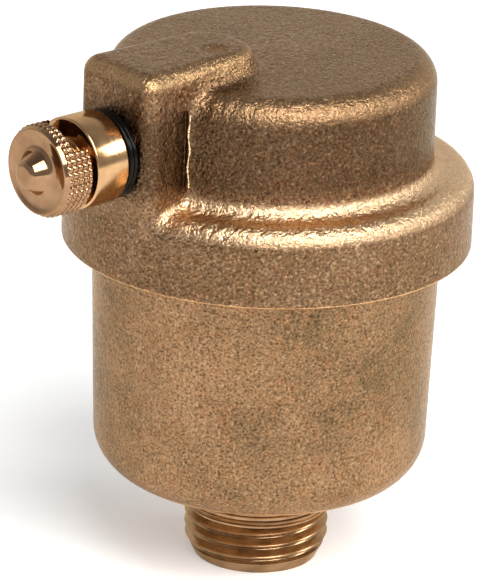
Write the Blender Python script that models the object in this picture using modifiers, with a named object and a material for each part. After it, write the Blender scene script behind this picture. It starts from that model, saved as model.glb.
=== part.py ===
# Automatic air release valve with a side outlet: a forged brass pot and cover, a float inside,
# and a lever that opens and shuts a small valve in the side nozzle.
# Metres, +Z up. The origin is the centre of the inlet's end face, and the side outlet points
# along -X. Lengths named S are distances from the pot's axis along the outlet.
import math

import bmesh
import bpy
from mathutils import Matrix, Vector

MM = 0.001

# Clearances
GAP = 0.3 * MM                    # between neighbouring pieces
PIN_CLEARANCE = 0.15 * MM         # lever pin in its holes

# Inlet thread, G 1/2
THREAD_R = 10.4775 * MM
THREAD_LENGTH = 14.0 * MM
THREAD_CHAMFER = 1.4 * MM
RELIEF_R = 9.3 * MM               # groove between thread and pot
RELIEF_LENGTH = 1.6 * MM
INLET_BORE_R = 7.5 * MM

# Pot
POT_R = 25.0 * MM                 # at the neck, which the cover screws on
POT_DRAFT = 0.9 * MM              # how much narrower the pot is at its base
POT_HEIGHT = 43.0 * MM            # base to neck top
POT_WALL = 3.6 * MM
POT_FLOOR = 3.5 * MM
POT_BASE_ROUND = 7.5 * MM
POT_INNER_ROUND = 4.0 * MM
RIB_COUNT = 4
RIB_HEIGHT = 2.4 * MM             # the float rests on these ribs
RIB_WIDTH = 2.0 * MM

# Cover
NECK_ENGAGEMENT = 8.0 * MM        # how deep the neck sits in the skirt
SKIRT_WALL = 4.05 * MM
SKIRT_HEIGHT = 11.7 * MM
SKIRT_ROUND = 3.2 * MM
SKIRT_DISH = 0.5 * MM             # fall of the skirt's top towards the crown
CROWN_STEP = 1.5 * MM             # crown radius below pot radius
CROWN_HEIGHT = 15.5 * MM          # skirt top to crown top
CROWN_ROUND = 2.5 * MM
CROWN_DOME = 0.4 * MM             # rise of the crown's top at its middle
CROWN_FILLET = 1.6 * MM
COVER_WALL = 3.0 * MM

# Boss for the side outlet
BOSS_OVERHANG = 0.65 * MM         # past the skirt's radius
BOSS_INNER_S = 6.2 * MM
BOSS_HALF_WIDTH = 7.7 * MM
BOSS_TAPER = 0.86                 # width at the inner end over width at the outer end
BOSS_RISE = 4.3 * MM              # above the crown
BOSS_INNER_ROUND = 5.8 * MM
BOSS_OUTER_ROUND = 2.6 * MM
BOSS_TOP_ROUND = 2.4 * MM
BOSS_FOOT_DEPTH = 3.2 * MM        # below the skirt's top
BOSS_FOOT_ROUND = 3.0 * MM
BOSS_WALL = 3.2 * MM
BOSS_END_WALL = 4.5 * MM          # metal round the outlet, behind the boss's face
OUTLET_RISE = 7.4 * MM            # outlet axis above the skirt's top
GROOVE_WIDTH = 1.3 * MM           # upright grooves where boss and crown meet
GROOVE_DEPTH = 1.2 * MM
GROOVE_LENGTH = 10.5 * MM
DIMPLE_R = 1.6 * MM
DIMPLE_FLOOR_R = 1.0 * MM
DIMPLE_DEPTH = 0.45 * MM
DIMPLE_S = 13.5 * MM
DIMPLE_OFFSET = 2.4 * MM          # beside the boss's middle line

# Seal between pot and cover
BODY_RING_WIRE = 1.5 * MM

# Nozzle, screwed into the boss
SHANK_R = 4.8 * MM
COLLAR_R = 6.55 * MM
COLLAR_BACK = 2.1 * MM            # boss face to collar, the space of the black ring
COLLAR_LENGTH = 5.6 * MM
CAP_THREAD_R = 4.0 * MM
CAP_THREAD_LENGTH = 2.6 * MM
VENT_R = 1.2 * MM
GUIDE_R = 3.0 * MM                # bore that guides the obturator
NOZZLE_RING_THICKNESS = 1.5 * MM
NOZZLE_RING_R = 6.35 * MM
NOZZLE_RING_ROUND = 0.55 * MM

# Valve seat, obturator and spring
SEAT_OFFSET = 5.3 * MM            # end of the guide bore past the boss face
SEAT_LENGTH = 2.0 * MM
SEAT_LIP = 0.5 * MM
SEAT_LIP_R = 1.6 * MM
SEAT_BORE_R = 1.0 * MM
SEAL_R = 2.0 * MM
SEAL_THICKNESS = 1.2 * MM
SEAL_PROUD = 0.4 * MM
SHUT_GAP = 0.2 * MM               # left between seal and seat lip when shut
HEAD_R = 2.6 * MM
HEAD_LENGTH = 3.6 * MM
STEM_R = 1.1 * MM
TAIL_R = 1.5 * MM
TAIL_FLAT = 1.1 * MM              # half height across the tail's flats
TAIL_WALL = 0.9 * MM
SPRING_WIRE = 0.5 * MM
SPRING_R = 2.05 * MM
SPRING_TURNS = 5.5
SPRING_SIDES = 12                 # straight lengths in a turn
SPRING_END_CLOSING = 0.3          # how much closer the end turns lie
RETAINER_THICKNESS = 1.0 * MM

# Float lever
PIVOT_S = 16.0 * MM
PIVOT_DROP = 3.4 * MM             # pin below the outlet's axis
SWING = math.radians(25.0)        # from float down to float up
PIN_R = 0.5 * MM
PIN_HOLD = 0.9 * MM               # pin in each cheek of the fork
FORK_HALF_GAP = 1.5 * MM
FORK_REACH = 2.5 * MM             # nozzle's inner end past the pin
FORK_DEPTH = 6.0 * MM
LEVER_THICKNESS = 1.0 * MM
LEVER_HALF_WIDTH = 1.1 * MM
LEVER_EYE_R = 1.4 * MM
LEVER_END_ROUND = 0.95            # of the half width, for ends that are nearly round
LEVER_SLOT_PLAY = 0.32 * MM       # on each side of the bail
LEVER_SLOT_WALL = 0.7 * MM
LEVER_TIP_R = 0.85 * MM
LEVER_TIP_NECK = 0.45 * MM        # half width of the short arm

# Float
FLOAT_CLEARANCE = 2.0 * MM        # round the float, in the pot
FLOAT_WALL = 1.2 * MM
FLOAT_ROUND = 4.0 * MM
LID_THICKNESS = 1.5 * MM
LID_CONE = 0.8 * MM
LID_BOSS_R = 4.2 * MM
LID_BOSS_HEIGHT = 1.0 * MM
SPIGOT_DEPTH = 2.0 * MM
BAIL_WIRE = 0.9 * MM
BAIL_HALF_WIDTH = 2.4 * MM
BAIL_HEIGHT = 4.6 * MM            # hook above the lid's boss
BAIL_DEPTH = 1.8 * MM             # legs below the top of the lid's boss

# Cap, shown one turn open
CAP_R = 6.6 * MM
CAP_KNURL_LENGTH = 4.0 * MM
CAP_CHAMFER = 0.6 * MM
CAP_DISH = 0.35 * MM
CAP_RIM_WIDTH = 1.2 * MM          # slope inside the rim
CAP_CONE_R = 3.4 * MM
CAP_CONE_HEIGHT = 1.6 * MM
CAP_NUB_R = 1.5 * MM
CAP_NUB_FOOT_R = 1.65 * MM
CAP_NUB_ROUND = 0.45 * MM
CAP_NUB_HEIGHT = 1.1 * MM
CAP_PITCH = 0.75 * MM             # of the cap's thread
CAP_TURNS_OPEN = 1.0
CAP_SEAL_THICKNESS = 0.7 * MM
CAP_SEAL_BORE_R = 1.5 * MM

# Places that follow from the sizes above
NECK_TOP_Z = THREAD_LENGTH + POT_HEIGHT
SKIRT_Z = NECK_TOP_Z - NECK_ENGAGEMENT
SKIRT_TOP_Z = SKIRT_Z + SKIRT_HEIGHT
CROWN_TOP_Z = SKIRT_TOP_Z + CROWN_HEIGHT
OUTLET_Z = SKIRT_TOP_Z + OUTLET_RISE
FLOOR_Z = THREAD_LENGTH + POT_FLOOR
POT_BORE_R = POT_R - POT_WALL
SKIRT_R = POT_R + GAP + SKIRT_WALL
CROWN_R = POT_R - CROWN_STEP
CAVITY_R = CROWN_R - COVER_WALL
BOSS_END_S = SKIRT_R + BOSS_OVERHANG
COLLAR_S = BOSS_END_S + COLLAR_BACK
NOZZLE_FRONT_S = COLLAR_S + COLLAR_LENGTH
NOZZLE_END_S = PIVOT_S - FORK_REACH
GUIDE_END_S = BOSS_END_S + SEAT_OFFSET
SEAT_LIP_S = GUIDE_END_S - GAP - SEAT_LENGTH - SEAT_LIP
OPEN_TRAVEL = PIVOT_DROP * math.sin(SWING)
SEAL_SHUT_S = SEAT_LIP_S - SHUT_GAP
SEAL_S = SEAL_SHUT_S - OPEN_TRAVEL
RETAINER_S = NOZZLE_END_S + FORK_DEPTH + GAP
PIVOT_Z = OUTLET_Z - PIVOT_DROP
FLOAT_STROKE = PIVOT_S * math.tan(SWING)
HOOK_Z = PIVOT_Z - FLOAT_STROKE
LID_BOSS_Z = HOOK_Z - BAIL_HEIGHT
LID_Z = LID_BOSS_Z - LID_BOSS_HEIGHT - LID_CONE - LID_THICKNESS
FLOAT_R = POT_BORE_R - FLOAT_CLEARANCE
FLOAT_Z = FLOOR_Z + RIB_HEIGHT + GAP
CAP_S = NOZZLE_FRONT_S + GAP + CAP_TURNS_OPEN * CAP_PITCH
CAP_BORE_R = CAP_THREAD_R + GAP
CAP_BORE_DEPTH = CAP_THREAD_LENGTH + CAP_SEAL_THICKNESS + GAP

for old in list(bpy.data.objects):
    bpy.data.objects.remove(old, do_unlink=True)

valve = bpy.data.collections.new("air_release_valve")
cutters = bpy.data.collections.new("cutters")
bpy.context.scene.collection.children.link(valve)
bpy.context.scene.collection.children.link(cutters)


def material(name, colour, roughness, metallic):
    finish = bpy.data.materials.new(name)
    finish.use_nodes = True
    shader = finish.node_tree.nodes["Principled BSDF"]
    shader.inputs["Base Color"].default_value = (*colour, 1.0)
    shader.inputs["Roughness"].default_value = roughness
    shader.inputs["Metallic"].default_value = metallic
    finish.diffuse_color = (*colour, 1.0)
    return finish


FORGED_BRASS = material("forged_brass", (0.42, 0.27, 0.13), 0.45, 1.0)
TURNED_BRASS = material("turned_brass", (0.66, 0.42, 0.18), 0.2, 1.0)
STAINLESS = material("stainless_steel", (0.55, 0.55, 0.54), 0.3, 1.0)
RUBBER = material("black_rubber", (0.02, 0.02, 0.02), 0.6, 0.0)
PLASTIC = material("float_plastic", (0.72, 0.7, 0.64), 0.5, 0.0)


def add(name, data, finish=None):
    piece = bpy.data.objects.new(name, data)
    if finish:
        data.materials.append(finish)
        valve.objects.link(piece)
    else:
        cutters.objects.link(piece)
        piece.hide_render = True
        piece.display_type = "WIRE"
    return piece


def arc(centre, radius, start, end, facets):
    # Points from angle start to angle end, in degrees, round a centre
    points = []
    for step in range(facets + 1):
        angle = math.radians(start + (end - start) * step / facets)
        points.append((centre[0] + radius * math.cos(angle), centre[1] + radius * math.sin(angle)))
    return points


def rounded(corners, facets):
    # An outline whose corners (across, up, fillet radius) become arcs tangent to both sides;
    # a fillet is never longer than 45% of the shorter side next to it
    points = []
    for index, corner in enumerate(corners):
        here = Vector(corner[:2])
        if len(corner) < 3:
            points.append(here)
            continue
        before = Vector(corners[index - 1][:2]) - here
        after = Vector(corners[(index + 1) % len(corners)][:2]) - here
        half = before.angle(after) / 2.0
        reach = min(corner[2] / math.tan(half), 0.45 * before.length, 0.45 * after.length)
        radius = reach * math.tan(half)
        inward = before.normalized() + after.normalized()
        centre = here + inward.normalized() * radius / math.sin(half)
        first = here + before.normalized() * reach - centre
        last = here + after.normalized() * reach - centre
        sweep = math.atan2(first.x * last.y - first.y * last.x, first.dot(last))
        for step in range(facets + 1):
            points.append(centre + Matrix.Rotation(sweep * step / facets, 2) @ first)
    return points


def turned(name, corners, finish=None, steps=32, facets=3):
    # A profile of (radius, height) turned about Z. It runs down its outer side and closes on
    # itself, except along the axis
    outline = rounded(corners, facets)
    edges = []
    for index, point in enumerate(outline):
        following = (index + 1) % len(outline)
        if point.x > 0.0 or outline[following].x > 0.0:
            edges.append((index, following))
    mesh = bpy.data.meshes.new(name)
    mesh.from_pydata([(point.x, 0.0, point.y) for point in outline], edges, [])
    piece = add(name, mesh, finish)
    screw = piece.modifiers.new("Turn", "SCREW")
    screw.angle = 2.0 * math.pi
    screw.steps = steps
    screw.render_steps = steps
    screw.use_merge_vertices = True
    screw.merge_threshold = 0.00001
    return piece


def along_outlet(piece, distance=0.0):
    # Lays a piece turned about Z along the outlet's axis, its origin at the given distance
    piece.rotation_euler = (0.0, -math.pi / 2.0, 0.0)
    piece.location = (-distance, 0.0, OUTLET_Z)
    return piece


def block(name, low, high):
    # A cutter box between two corners
    mesh = bpy.data.meshes.new(name)
    shape = bmesh.new()
    bmesh.ops.create_cube(shape, size=1.0)
    size = Vector(high) - Vector(low)
    bmesh.ops.scale(shape, vec=size, verts=shape.verts)
    bmesh.ops.translate(shape, vec=(Vector(low) + Vector(high)) / 2.0, verts=shape.verts)
    shape.to_mesh(mesh)
    shape.free()
    return add(name, mesh)


def rod(name, radius, length, finish=None, segments=20):
    # A cylinder along Z with its middle at its origin
    mesh = bpy.data.meshes.new(name)
    shape = bmesh.new()
    bmesh.ops.create_cone(shape, cap_ends=True, segments=segments, radius1=radius, radius2=radius,
                          depth=length)
    shape.to_mesh(mesh)
    shape.free()
    return add(name, mesh, finish)


def combine(piece, other, operation):
    boolean = piece.modifiers.new(other.name, "BOOLEAN")
    boolean.operation = operation
    boolean.object = other
    boolean.solver = "EXACT"


def wire(name, points, diameter, finish):
    # A round wire along a list of points
    curve = bpy.data.curves.new(name, "CURVE")
    curve.dimensions = "3D"
    curve.bevel_depth = diameter / 2.0
    curve.bevel_resolution = 2
    curve.use_fill_caps = True
    spline = curve.splines.new("POLY")
    spline.points.add(len(points) - 1)
    for point, place in zip(spline.points, points):
        point.co = (*place, 1.0)
    return add(name, curve, finish)


def plate(name, outlines, thickness, finish):
    # A flat sheet cut to an outline with holes
    curve = bpy.data.curves.new(name, "CURVE")
    curve.dimensions = "2D"
    curve.fill_mode = "BOTH"
    curve.extrude = thickness / 2.0
    for outline in outlines:
        spline = curve.splines.new("POLY")
        spline.points.add(len(outline) - 1)
        spline.use_cyclic_u = True
        for point, place in zip(spline.points, outline):
            point.co = (place[0], place[1], 0.0, 1.0)
    return add(name, curve, finish)


def bevel(shape, edges, width, segments):
    bmesh.ops.bevel(shape, geom=edges, offset=width, offset_type="OFFSET", segments=segments,
                    profile=0.5, affect="EDGES", material=-1)


# Pot

def make_body():
    base_r = POT_R - POT_DRAFT
    ring_r = (POT_R + POT_BORE_R) / 2.0
    groove = BODY_RING_WIRE / 2.0 + GAP
    groove_z = NECK_TOP_Z - BODY_RING_WIRE - GAP
    thread_top = THREAD_LENGTH - RELIEF_LENGTH
    body = turned("body", [
        (POT_R, NECK_TOP_Z),
        (POT_R, SKIRT_Z),
        (base_r, THREAD_LENGTH, POT_BASE_ROUND),
        (RELIEF_R, THREAD_LENGTH),
        (RELIEF_R, thread_top),
        (THREAD_R, thread_top - (THREAD_R - RELIEF_R)),
        (THREAD_R, THREAD_CHAMFER),
        (THREAD_R - THREAD_CHAMFER, 0.0),
        (INLET_BORE_R, 0.0),
        (INLET_BORE_R, FLOOR_Z),
        (POT_BORE_R, FLOOR_Z, POT_INNER_ROUND),
        (POT_BORE_R, NECK_TOP_Z),
        (ring_r - groove, NECK_TOP_Z),
        (ring_r - groove, groove_z),
        (ring_r + groove, groove_z),
        (ring_r + groove, NECK_TOP_Z),
    ], FORGED_BRASS, steps=48, facets=5)
    ribs = bpy.data.meshes.new("rib")
    shape = bmesh.new()
    inner = INLET_BORE_R + RIB_WIDTH / 2.0
    length = POT_BORE_R - POT_INNER_ROUND - inner
    for index in range(RIB_COUNT):
        turn = Matrix.Rotation(2.0 * math.pi * (index + 0.5) / RIB_COUNT, 4, "Z")
        rib = bmesh.ops.create_cube(shape, size=1.0)["verts"]
        bmesh.ops.scale(shape, vec=(length, RIB_WIDTH, 2.0 * RIB_HEIGHT), verts=rib)
        bmesh.ops.translate(shape, vec=(inner + length / 2.0, 0.0, FLOOR_Z), verts=rib)
        bmesh.ops.transform(shape, matrix=turn, verts=rib)
    shape.to_mesh(ribs)
    shape.free()
    combine(body, add("ribs", ribs), "UNION")

    ring = BODY_RING_WIRE / 2.0
    turned("body_o_ring", [(point[0], point[1]) for point in
                           arc((ring_r, groove_z + GAP + ring), ring, 90.0, -225.0, 7)],
           RUBBER, steps=48)


# Cover with the boss for the side outlet

def boss_solid():
    # A box that narrows inwards, with round ends, a round top edge and a round foot
    foot_z = SKIRT_TOP_Z - BOSS_FOOT_DEPTH
    top_z = CROWN_TOP_Z + BOSS_RISE
    middle = -(BOSS_END_S + BOSS_INNER_S) / 2.0
    mesh = bpy.data.meshes.new("boss")
    shape = bmesh.new()
    bmesh.ops.create_cube(shape, size=1.0)
    bmesh.ops.scale(shape, vec=(BOSS_END_S - BOSS_INNER_S, 2.0 * BOSS_HALF_WIDTH, top_z - foot_z),
                    verts=shape.verts)
    bmesh.ops.translate(shape, vec=(middle, 0.0, (top_z + foot_z) / 2.0), verts=shape.verts)
    inner = [vert for vert in shape.verts if vert.co.x > middle]
    bmesh.ops.scale(shape, vec=(1.0, BOSS_TAPER, 1.0), verts=inner)

    def upright(side):
        return [edge for edge in shape.edges if (edge.verts[0].co.x - middle) * side > 0.0
                and abs(edge.verts[0].co.z - edge.verts[1].co.z) > (top_z - foot_z) / 2.0]

    def level(height, limit):
        return [edge for edge in shape.edges
                if all(abs(vert.co.z - height) < GAP and vert.co.x < limit for vert in edge.verts)]

    bevel(shape, upright(1.0), BOSS_INNER_ROUND, 4)
    bevel(shape, upright(-1.0), BOSS_OUTER_ROUND, 3)
    bevel(shape, level(top_z, 0.0), BOSS_TOP_ROUND, 3)
    bevel(shape, level(foot_z, GAP - BOSS_END_S + BOSS_OUTER_ROUND), BOSS_FOOT_ROUND, 3)
    shape.to_mesh(mesh)
    shape.free()
    return add("boss", mesh)


def make_cover():
    skirt_bore = POT_R + GAP
    ceiling_z = CROWN_TOP_Z - COVER_WALL
    below = SKIRT_Z - COVER_WALL
    cover = turned("cover", [
        (0.0, CROWN_TOP_Z + CROWN_DOME),
        (CROWN_R, CROWN_TOP_Z, CROWN_ROUND),
        (CROWN_R, SKIRT_TOP_Z - SKIRT_DISH, CROWN_FILLET),
        (SKIRT_R, SKIRT_TOP_Z, SKIRT_ROUND),
        (SKIRT_R, SKIRT_Z, 2.0 * GAP),
        (0.0, SKIRT_Z),
    ], FORGED_BRASS, steps=48, facets=4)
    combine(cover, boss_solid(), "UNION")
    cavity = turned("cavity", [
        (0.0, ceiling_z),
        (CAVITY_R, ceiling_z, COVER_WALL),
        (CAVITY_R, NECK_TOP_Z + GAP),
        (skirt_bore, NECK_TOP_Z + GAP),
        (skirt_bore, below),
        (0.0, below),
    ], steps=48)
    combine(cover, cavity, "DIFFERENCE")
    pocket = block("boss_pocket",
                   (-(BOSS_END_S - BOSS_END_WALL), -(BOSS_HALF_WIDTH - BOSS_WALL),
                    OUTLET_Z - SHANK_R),
                   (-(BOSS_INNER_S + BOSS_WALL), BOSS_HALF_WIDTH - BOSS_WALL,
                    CROWN_TOP_Z + BOSS_RISE - BOSS_WALL))
    combine(cover, pocket, "DIFFERENCE")
    bore = along_outlet(rod("outlet_bore", SHANK_R + GAP, BOSS_END_S, segments=32), BOSS_END_S)
    combine(cover, bore, "DIFFERENCE")
    junction = math.sqrt(CROWN_R ** 2 - BOSS_HALF_WIDTH ** 2)
    groove_z = CROWN_TOP_Z - CROWN_ROUND + GAP - GROOVE_LENGTH
    for name, side in (("groove_front", -1.0), ("groove_back", 1.0)):
        inner = side * (BOSS_HALF_WIDTH - GROOVE_DEPTH)
        outer = side * (BOSS_HALF_WIDTH + GROOVE_DEPTH)
        groove = block(name, (-(junction + GROOVE_WIDTH / 2.0), min(inner, outer), groove_z),
                       (-(junction - GROOVE_WIDTH / 2.0), max(inner, outer),
                        groove_z + GROOVE_LENGTH))
        combine(cover, groove, "DIFFERENCE")
    dimple = turned("dimple", [
        (0.0, DIMPLE_DEPTH),
        (2.0 * DIMPLE_R - DIMPLE_FLOOR_R, DIMPLE_DEPTH),
        (DIMPLE_FLOOR_R, -DIMPLE_DEPTH),
        (0.0, -DIMPLE_DEPTH),
    ], steps=20)
    dimple.location = (-DIMPLE_S, -DIMPLE_OFFSET, CROWN_TOP_Z + BOSS_RISE)
    combine(cover, dimple, "DIFFERENCE")


# Nozzle with the fork that carries the lever

def make_nozzle():
    tip_s = NOZZLE_FRONT_S + CAP_THREAD_LENGTH
    nozzle = along_outlet(turned("vent_nozzle", [
        (CAP_THREAD_R - GAP, tip_s),
        (CAP_THREAD_R, tip_s - GAP),
        (CAP_THREAD_R, NOZZLE_FRONT_S),
        (COLLAR_R - GAP, NOZZLE_FRONT_S),
        (COLLAR_R, NOZZLE_FRONT_S - GAP),
        (COLLAR_R, COLLAR_S + GAP),
        (COLLAR_R - GAP, COLLAR_S),
        (SHANK_R, COLLAR_S),
        (SHANK_R, NOZZLE_END_S),
        (GUIDE_R, NOZZLE_END_S),
        (GUIDE_R, GUIDE_END_S),
        (VENT_R, GUIDE_END_S),
        (VENT_R, tip_s),
    ], TURNED_BRASS, steps=40))
    reach = 2.0 * SHANK_R
    fork = block("fork_gap", (-(NOZZLE_END_S + FORK_DEPTH), -FORK_HALF_GAP, OUTLET_Z - reach),
                 (-(NOZZLE_END_S - FORK_DEPTH), FORK_HALF_GAP, OUTLET_Z + reach))
    combine(nozzle, fork, "DIFFERENCE")
    hole = rod("pin_hole", PIN_R + PIN_CLEARANCE, 4.0 * SHANK_R, segments=16)
    hole.rotation_euler = (math.pi / 2.0, 0.0, 0.0)
    hole.location = (-PIVOT_S, 0.0, PIVOT_Z)
    combine(nozzle, hole, "DIFFERENCE")

    middle = BOSS_END_S + COLLAR_BACK / 2.0
    half = NOZZLE_RING_THICKNESS / 2.0
    inner = SHANK_R + GAP
    along_outlet(turned("nozzle_o_ring", [
        (inner, middle + half, NOZZLE_RING_ROUND),
        (NOZZLE_RING_R, middle + half, NOZZLE_RING_ROUND),
        (NOZZLE_RING_R, middle - half, NOZZLE_RING_ROUND),
        (inner, middle - half, NOZZLE_RING_ROUND),
    ], RUBBER, steps=32, facets=2))
    seat_r = GUIDE_R - GAP
    along_outlet(turned("valve_seat", [
        (seat_r, GUIDE_END_S - GAP),
        (seat_r, SEAT_LIP_S + SEAT_LIP),
        (SEAT_LIP_R + GAP, SEAT_LIP_S + SEAT_LIP),
        (SEAT_LIP_R, SEAT_LIP_S),
        (SEAT_BORE_R, SEAT_LIP_S),
        (SEAT_BORE_R, GUIDE_END_S - GAP),
    ], TURNED_BRASS, steps=24))
    along_outlet(turned("spring_retainer", [
        (GUIDE_R - GAP, RETAINER_S + RETAINER_THICKNESS),
        (GUIDE_R - GAP, RETAINER_S),
        (STEM_R + GAP, RETAINER_S),
        (STEM_R + GAP, RETAINER_S + RETAINER_THICKNESS),
    ], STAINLESS, steps=24))


# Obturator: its origin is the middle of the seal's face, and inboard is -Z before it is laid
# along the outlet. The tail's slot is centred on the lever's tip.

def make_obturator():
    tail = PIVOT_S - SEAL_SHUT_S
    slot = LEVER_TIP_R + PIVOT_DROP * (1.0 - math.cos(SWING)) + PIN_CLEARANCE
    head_front = -SEAL_PROUD
    seal_bottom = -(SEAL_THICKNESS + GAP)
    obturator = along_outlet(turned("obturator", [
        (0.0, seal_bottom),
        (SEAL_R + GAP, seal_bottom),
        (SEAL_R + GAP, head_front),
        (HEAD_R, head_front),
        (HEAD_R, head_front - HEAD_LENGTH),
        (STEM_R, head_front - HEAD_LENGTH),
        (STEM_R, tail + slot + TAIL_WALL),
        (TAIL_R, tail + slot + TAIL_WALL),
        (TAIL_R, tail - slot - TAIL_WALL),
        (0.0, tail - slot - TAIL_WALL),
    ], TURNED_BRASS, steps=24), SEAL_S)
    tail_s = SEAL_S + tail
    reach = slot + TAIL_WALL
    side = LEVER_THICKNESS / 2.0 + GAP
    combine(obturator, block("tail_slot", (-(tail_s + slot), -side, OUTLET_Z - TAIL_R),
                             (-(tail_s - slot), side, OUTLET_Z + TAIL_R)), "DIFFERENCE")
    for name, low, high in (("tail_flat_top", TAIL_FLAT, 2.0 * TAIL_R),
                            ("tail_flat_bottom", -2.0 * TAIL_R, -TAIL_FLAT)):
        combine(obturator, block(name, (-(tail_s + reach), -2.0 * TAIL_R, OUTLET_Z + low),
                                 (-(tail_s - 2.0 * reach), 2.0 * TAIL_R, OUTLET_Z + high)),
                "DIFFERENCE")
    along_outlet(turned("obturator_seal", [
        (0.0, 0.0),
        (SEAL_R, 0.0),
        (SEAL_R, -SEAL_THICKNESS),
        (0.0, -SEAL_THICKNESS),
    ], RUBBER, steps=24), SEAL_S)


def make_spring():
    start = RETAINER_S + RETAINER_THICKNESS + GAP + SPRING_WIRE / 2.0
    end = SEAL_S - SEAL_PROUD - HEAD_LENGTH - GAP - SPRING_WIRE / 2.0
    count = round(SPRING_TURNS * SPRING_SIDES)
    points = []
    for index in range(count + 1):
        part = index / count
        closing = SPRING_END_CLOSING * math.sin(2.0 * math.pi * part) / (2.0 * math.pi)
        angle = 2.0 * math.pi * SPRING_TURNS * part
        points.append((SPRING_R * math.cos(angle), SPRING_R * math.sin(angle),
                       start + (end - start) * (part - closing)))
    along_outlet(wire("closing_spring", points, SPRING_WIRE, STAINLESS))


# Lever: a bell-crank drawn with its pin at the origin and the float's arm along +X, then swung
# down to where the float rests

def make_lever():
    slot_half = BAIL_WIRE / 2.0 + LEVER_SLOT_PLAY
    slot_start = PIVOT_S - BAIL_WIRE
    slot_end = PIVOT_S / math.cos(SWING) + BAIL_WIRE
    pad = slot_half + LEVER_SLOT_WALL
    end = slot_end + LEVER_SLOT_WALL
    elbow = LEVER_HALF_WIDTH + LEVER_TIP_NECK
    tip_neck = math.degrees(math.asin(LEVER_TIP_NECK / LEVER_TIP_R))
    tip = arc((0.0, PIVOT_DROP), LEVER_TIP_R, tip_neck - 90.0, 270.0 - tip_neck, 14)
    outline = rounded([
        (-LEVER_EYE_R, -LEVER_EYE_R, LEVER_EYE_R * LEVER_END_ROUND),
        (LEVER_EYE_R, -LEVER_HALF_WIDTH),
        (slot_start - 2.0 * pad, -LEVER_HALF_WIDTH),
        (slot_start - pad, -pad),
        (end, -pad, pad * LEVER_END_ROUND),
        (end, pad, pad * LEVER_END_ROUND),
        (slot_start - pad, pad),
        (slot_start - 2.0 * pad, LEVER_HALF_WIDTH),
        (elbow, LEVER_HALF_WIDTH),
        (LEVER_TIP_NECK, elbow),
        *tip,
        (-LEVER_TIP_NECK, LEVER_EYE_R),
        (-LEVER_EYE_R, LEVER_EYE_R, LEVER_TIP_NECK),
    ], 4)
    hole = arc((0.0, 0.0), PIN_R + PIN_CLEARANCE, 0.0, 345.0, 23)
    slot = arc((slot_end - slot_half, 0.0), slot_half, -90.0, 90.0, 6)
    slot += arc((slot_start + slot_half, 0.0), slot_half, 90.0, 270.0, 6)
    lever = plate("float_lever", [outline, hole, slot], LEVER_THICKNESS, STAINLESS)
    lever.location = (-PIVOT_S, 0.0, PIVOT_Z)
    lever.rotation_euler = (math.pi / 2.0, SWING, 0.0)
    pin = rod("lever_pin", PIN_R, 2.0 * (FORK_HALF_GAP + PIN_HOLD), STAINLESS, segments=16)
    pin.location = (-PIVOT_S, 0.0, PIVOT_Z)
    pin.rotation_euler = (math.pi / 2.0, 0.0, 0.0)


# Float: a thin cup and its lid, with the bent wire that hooks into the lever's slot

def make_float():
    inner = FLOAT_R - FLOAT_WALL
    turned("float_shell", [
        (FLOAT_R, LID_Z - GAP),
        (FLOAT_R, FLOAT_Z, FLOAT_ROUND),
        (0.0, FLOAT_Z),
        (0.0, FLOAT_Z + FLOAT_WALL),
        (inner, FLOAT_Z + FLOAT_WALL, FLOAT_ROUND - FLOAT_WALL),
        (inner, LID_Z - GAP),
    ], PLASTIC, steps=40)
    spigot = inner - GAP
    lid_top = LID_Z + LID_THICKNESS
    lid = turned("float_lid", [
        (0.0, LID_BOSS_Z),
        (LID_BOSS_R, LID_BOSS_Z, GAP),
        (LID_BOSS_R, lid_top + LID_CONE),
        (FLOAT_R, lid_top, LID_THICKNESS / 2.0),
        (FLOAT_R, LID_Z),
        (spigot, LID_Z),
        (spigot, LID_Z - SPIGOT_DEPTH),
        (spigot - FLOAT_WALL, LID_Z - SPIGOT_DEPTH),
        (spigot - FLOAT_WALL, LID_Z),
        (0.0, LID_Z),
    ], PLASTIC, steps=40)
    foot_z = LID_BOSS_Z - BAIL_DEPTH
    for name, side in (("bail_hole_front", -1.0), ("bail_hole_back", 1.0)):
        hole = rod(name, BAIL_WIRE / 2.0 + GAP, 2.0 * (BAIL_DEPTH + GAP), segments=16)
        hole.location = (0.0, side * BAIL_HALF_WIDTH, LID_BOSS_Z)
        combine(lid, hole, "DIFFERENCE")
    path = rounded([
        (-BAIL_HALF_WIDTH, foot_z),
        (-BAIL_HALF_WIDTH, HOOK_Z, BAIL_WIRE),
        (BAIL_HALF_WIDTH, HOOK_Z, BAIL_WIRE),
        (BAIL_HALF_WIDTH, foot_z),
    ], 4)
    wire("float_bail", [(0.0, point.x, point.y) for point in path], BAIL_WIRE, STAINLESS)


# Cap, with its origin on the outlet's axis at the cap's rear face

def make_cap():
    rim = CAP_KNURL_LENGTH + CAP_CHAMFER
    face = rim - CAP_DISH
    cone = face + CAP_CONE_HEIGHT
    along_outlet(turned("vent_cap", [
        (0.0, cone + CAP_NUB_HEIGHT),
        (CAP_NUB_R, cone + CAP_NUB_HEIGHT, CAP_NUB_ROUND),
        (CAP_NUB_FOOT_R, cone),
        (CAP_CONE_R, face, CAP_DISH),
        (CAP_R - CAP_CHAMFER - CAP_RIM_WIDTH, face),
        (CAP_R - CAP_CHAMFER, rim),
        (CAP_R, CAP_KNURL_LENGTH),
        (CAP_R, GAP),
        (CAP_R - GAP, 0.0),
        (CAP_BORE_R, 0.0),
        (CAP_BORE_R, CAP_BORE_DEPTH),
        (0.0, CAP_BORE_DEPTH),
    ], TURNED_BRASS, steps=40), CAP_S)
    seal_top = CAP_BORE_DEPTH - GAP
    along_outlet(turned("cap_seal", [
        (CAP_BORE_R - GAP, seal_top),
        (CAP_BORE_R - GAP, seal_top - CAP_SEAL_THICKNESS),
        (CAP_SEAL_BORE_R, seal_top - CAP_SEAL_THICKNESS),
        (CAP_SEAL_BORE_R, seal_top),
    ], RUBBER, steps=32), CAP_S)


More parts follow.
